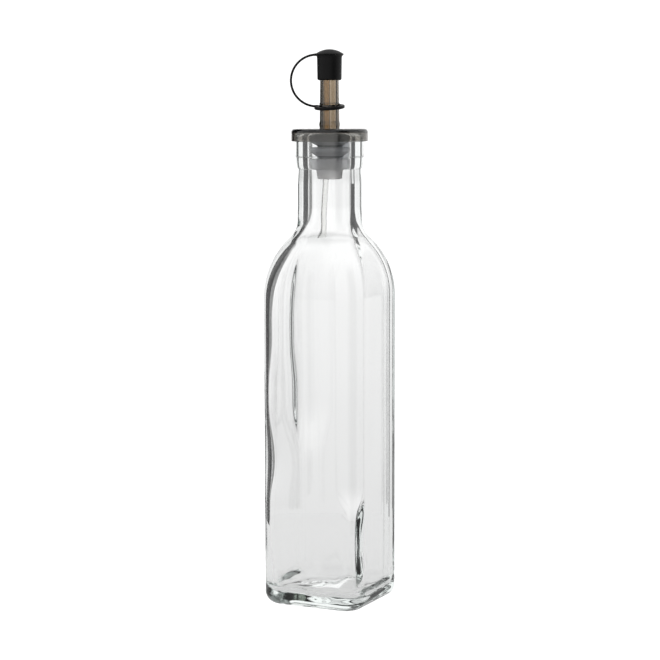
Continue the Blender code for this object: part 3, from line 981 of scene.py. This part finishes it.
# %% [markdown]
# ## Frosted plastic
# The stopper is a soft milky plastic that scatters light inside. Rough transmission gives the same
# veil and is much quicker than a scattering volume. In the picture it gets greyer towards the flange,
# and the grooves above the fins are dark. The colour follows the height and the distance from the
# axis to give both. This shade is painted on. It does not come from the light.

# %% Frosted plastic
FROST_IOR = 1.51
FROST_CLEAR = 0.75
FROST_LOW = (0.96, 0.95, 0.95, 1)
FROST_HIGH = (0.52, 0.54, 0.57, 1)
FROST_RISE = 0.9
FROST_PATCH_SCALE = 220
FROST_PATCHES = 0.2
FROST_GROOVE = (0.16, 0.17, 0.19, 1)
GROOVE = 0.9
GROOVE_DEPTH = (1.1, 0.4)
GROOVE_BOTTOM = 0.3
GROOVE_TOP = (1.3, 0.9)
FROST_GRAIN = 3000
FROST_STRENGTH = 0.35
FROST_DEPTH = 0.03
FROST_ROUGHNESS = (0.38, 0.5)
GRAIN_RANGE = (0.3, 0.7)


def frosted_plastic():
    material, kit = new_material("frosted_plastic")
    place = kit.node("TexCoord", output="Object")
    height = kit.node("SeparateXYZ", {}, {"Vector": place}, "Z")
    across = kit.node("VectorMath", {"operation": "MULTIPLY"}, {0: place, 1: (1, 1, 0)})
    radius = kit.node("VectorMath", {"operation": "LENGTH"}, {0: across}, "Value")
    rise = kit.between(height, SPIGOT_END * MM, FIRST_FIN_UNDERSIDE * MM, 0.0, FROST_RISE)
    greyer = rise + FROST_PATCHES * kit.noise(FROST_PATCH_SCALE, 3.0) - 0.5 * FROST_PATCHES
    colour = kit.node("Mix", {"data_type": "RGBA"}, {"Factor": greyer, 6: FROST_LOW, 7: FROST_HIGH}, 2)
    deep, shallow = GROOVE_DEPTH
    root = kit.between(radius, (STOPPER_CORE + deep) * MM, (STOPPER_CORE + shallow) * MM)
    for fin in FIN_TOPS:
        above = kit.between(height, fin * MM, (fin + GROOVE_BOTTOM) * MM)
        below = kit.between(height, (fin + GROOVE_TOP[0]) * MM, (fin + GROOVE_TOP[1]) * MM)
        colour = kit.node("Mix", {"data_type": "RGBA"}, {"Factor": GROOVE * root * above * below,
                                                         6: colour, 7: FROST_GROOVE}, 2)
    grain = kit.noise(FROST_GRAIN, 3.0)
    bump = kit.node("Bump", {}, {"Height": grain, "Strength": FROST_STRENGTH,
                                 "Distance": FROST_DEPTH * MM})
    rough = kit.between(grain, *GRAIN_RANGE, *FROST_ROUGHNESS)
    surface = kit.node("BsdfPrincipled", {}, {
        "Base Color": colour, "Roughness": rough, "IOR": FROST_IOR,
        "Transmission Weight": FROST_CLEAR, "Normal": bump})
    kit.node("OutputMaterial", {}, {"Surface": surface})
    return material


print(f"the stopper has a transmission weight of {FROST_CLEAR}")

# %% [markdown]
# ## Clear tube
# The air tube is drawn plastic, with faint streaks along its length. A stretched noise gives the
# streaks and feeds the colour, the roughness and a bump, so that all three agree.

# %% Clear tube
TUBE_IOR = 1.45
TUBE_STREAK_SCALE = 500
TUBE_STRETCH = (1, 1, 0.08)
TUBE_COLOURS = [(0.3, (0.93, 0.93, 0.92, 1)), (0.7, (0.98, 0.98, 0.97, 1))]
TUBE_ROUGHNESS = (0.03, 0.12)


def tube_plastic():
    material, kit = new_material("clear_tube")
    streak = kit.noise(TUBE_STREAK_SCALE, 2.0, TUBE_STRETCH)
    colour = kit.node("ValToRGB", {"stops": TUBE_COLOURS}, {"Fac": streak})
    bump = kit.node("Bump", {}, {"Height": streak, "Strength": FINE_STRENGTH,
                                 "Distance": FINE_DEPTH * MM})
    rough = kit.between(streak, *GRAIN_RANGE, *TUBE_ROUGHNESS)
    surface = kit.node("BsdfPrincipled", {}, {
        "Base Color": colour, "Roughness": rough, "IOR": TUBE_IOR,
        "Transmission Weight": 1.0, "Normal": bump})
    kit.node("OutputMaterial", {}, {"Surface": surface})
    return material


print(f"the tube's streaks go from roughness {TUBE_ROUGHNESS[0]} to {TUBE_ROUGHNESS[1]}")

# %% [markdown]
# ## Black rubber
# The cap's rubber is black with a fine matt grain that keeps its highlights broad and dim. A plain
# black would do from afar. Here worn patches and grain change the roughness a little, as handling does.

# %% Black rubber
RUBBER_GRAIN = 2200
RUBBER_WEAR = 120
RUBBER_COLOURS = [(0.35, (0.002, 0.002, 0.002, 1)), (0.7, (0.004, 0.004, 0.004, 1))]
RUBBER_STRENGTH = 0.4
RUBBER_DEPTH = 0.05
RUBBER_ROUGHNESS = (0.42, 0.58)
RUBBER_SHINE = 0.16


def black_rubber():
    material, kit = new_material("black_rubber")
    grain = kit.noise(RUBBER_GRAIN, 4.0)
    worn = kit.noise(RUBBER_WEAR, 2.0)
    colour = kit.node("ValToRGB", {"stops": RUBBER_COLOURS}, {"Fac": worn})
    bump = kit.node("Bump", {}, {"Height": grain, "Strength": RUBBER_STRENGTH,
                                 "Distance": RUBBER_DEPTH * MM})
    rough = kit.between(grain * 0.5 + worn * 0.5, *GRAIN_RANGE, *RUBBER_ROUGHNESS)
    surface = kit.node("BsdfPrincipled", {}, {
        "Base Color": colour, "Roughness": rough, "Specular IOR Level": RUBBER_SHINE, "Normal": bump})
    kit.node("OutputMaterial", {}, {"Surface": surface})
    return material


print(f"rubber roughness from {RUBBER_ROUGHNESS[0]} to {RUBBER_ROUGHNESS[1]}")

# %% Put the finishes on
finishes = {bottle: glass(), stopper: frosted_plastic(), pourer: smoke_plastic(),
            air_tube: tube_plastic(), cap: black_rubber()}
for piece, material in finishes.items():
    piece.data.materials.clear()
    piece.data.materials.append(material)
    print(f"{piece.name} is finished in {material.name}")

# %% [markdown]
# ## The table
# The bottle stands on white that runs into the background. A matt white floor alone would show
# shadows and an edge, so this one also glows. It glows more for the camera than for the light that
# it gives, which no real table does, and this keeps the picture's ground plain white.

# %% The table
FLOOR_RADIUS = 190.0
FLOOR_SIDES = 128
FLOOR_DROP = 0.05
FLOOR_GLOW = 0.50
FLOOR_SEEN_GLOW = 0.6
FLOOR_MATT = 0.30


def floor():
    shape = bmesh.new()
    bmesh.ops.create_circle(shape, cap_ends=True, segments=FLOOR_SIDES, radius=FLOOR_RADIUS * MM)
    mesh = bpy.data.meshes.new("table")
    shape.to_mesh(mesh)
    shape.free()
    table = bpy.data.objects.new("table", mesh)
    bpy.context.scene.collection.objects.link(table)
    table.location.z = -FLOOR_DROP * MM
    material, kit = new_material("white_table")
    seen = kit.node("LightPath", output="Is Camera Ray")
    strength = FLOOR_GLOW + FLOOR_SEEN_GLOW * seen
    glow = kit.node("Emission", {}, {"Color": grey(1.0), "Strength": strength})
    matt = kit.node("BsdfDiffuse", {}, {"Color": grey(FLOOR_MATT)})
    both = kit.node("AddShader", {}, {0: glow, 1: matt})
    kit.node("OutputMaterial", {}, {"Surface": both})
    mesh.materials.append(material)


floor()
print(f"the table is {2 * FLOOR_RADIUS:.0f} mm across")

# %% [markdown]
# ## The light
# Glass is lit by what stands behind it. Here that is a plain white field, a little dimmer below the
# horizon, and two pairs of dark strips draw the edges. The strips of a pair stand opposite each
# other. They could be boards, but as a function of direction in the world they need no room.
# The right pair is hidden from mirrored light, and low down it shrinks to a narrow slot. Real strips
# can't do that. It was chosen to keep dark patches out of the glass. All strips are fitted for the
# view of the picture, so from behind they show as wide grey bands that end at a hard line.

# %% The studio light
HORIZON_LIGHT = 1.03
LOW_LIGHT = 0.79
LOW = -0.20
STRIP_LEFT = (math.radians(-43.5), math.radians(20))
STRIP_RIGHT = (math.radians(52), math.radians(15.5))
STRIP_SOFT = math.radians(4)
STRIP_DARK = 0.96
RIGHT_FOOT = (-0.082, -0.066)
RIGHT_FAINT = 0.15
RIGHT_SLOT = (math.radians(6), math.radians(10))
STRIP_TOP = (0.55, 0.80)
BACKGROUND_SEEN = 1.2


def off_middle(angle, middle):
    """How far a direction is from the nearer of two opposite ones."""
    off = angle.math("WRAP", angle - middle, 0.5 * math.pi, -0.5 * math.pi)
    return off.math("ABSOLUTE", off)


def strip(kit, angle, middle, half):
    """How dark a pair of strips is in a direction. The two stand opposite each other."""
    return kit.between(off_middle(angle, middle), half + STRIP_SOFT, half - STRIP_SOFT, 0.0, STRIP_DARK)


def studio():
    world = bpy.data.worlds.new("studio")
    bpy.context.scene.world = world
    world.use_nodes = True
    kit = Kit(world.node_tree)
    way = kit.node("TexCoord", output="Generated")
    ahead = (-math.sin(CAMERA_TURN), math.cos(CAMERA_TURN), 0)
    right = (math.cos(CAMERA_TURN), math.sin(CAMERA_TURN), 0)
    along = kit.node("VectorMath", {"operation": "DOT_PRODUCT"}, {0: way, 1: ahead}, "Value")
    across = kit.node("VectorMath", {"operation": "DOT_PRODUCT"}, {0: way, 1: right}, "Value")
    rise = kit.node("VectorMath", {"operation": "DOT_PRODUCT"}, {0: way, 1: (0, 0, 1)}, "Value")
    angle = along.math("ARCTAN2", across, along)
    left_pair = strip(kit, angle, *STRIP_LEFT)
    mirrored = kit.node("LightPath", output="Is Reflection Ray")
    slot = kit.between(off_middle(angle, STRIP_RIGHT[0]), *RIGHT_SLOT, RIGHT_FAINT, 1.0)
    cut = kit.between(rise, *RIGHT_FOOT)
    right_pair = strip(kit, angle, *STRIP_RIGHT) * (cut + slot - cut * slot) * (1 - mirrored)
    wall = kit.node("MapRange", {}, {"Value": rise, "From Min": LOW, "From Max": 0.0,
                                     "To Min": LOW_LIGHT, "To Max": HORIZON_LIGHT})
    seen = kit.node("LightPath", output="Is Camera Ray")
    foot = kit.between(rise, *STRIP_TOP, 1.0, 0.0)
    light = wall * (1 - left_pair * foot) * (1 - right_pair * foot) * (1 - seen) + BACKGROUND_SEEN * seen
    glow = kit.node("Background", {}, {"Color": grey(1.0), "Strength": light})
    kit.node("OutputWorld", {}, {"Surface": glow})


studio()
for title, (middle, half) in (("left", STRIP_LEFT), ("right", STRIP_RIGHT)):
    print(f"{title} pair at {math.degrees(middle):+.1f} degrees, {math.degrees(2 * half):.0f} degrees wide")

# %% [markdown]
# ## How far light is followed
# Light is mirrored and bent many times inside thick glass, so the limits are high. The glossy limit
# is the one that shows: light that is mirrored inside the glass more often is cut off and turns
# black. At 14 the heel and the streak by the front corner turned black, and at 20 the streak turned
# grey. So 17 was chosen for the picture, and other limits make those places look different.

# %% Render settings
scene = bpy.context.scene
scene.view_settings.view_transform = "Standard"
scene.cycles.max_bounces = 32
scene.cycles.glossy_bounces = 17
scene.cycles.transmission_bounces = 32
scene.cycles.transparent_max_bounces = 16
print(f"at most {scene.cycles.max_bounces} bounces, {scene.cycles.glossy_bounces} of them glossy")

# %% [markdown]
# ## Sizes
# The box round the solids and the box round the finer pieces should agree. Only the box round the
# solids is written down here.

# %% Sizes and the last line
print("solid", [[round(c, 4) for c in corner] for corner in solid_box])
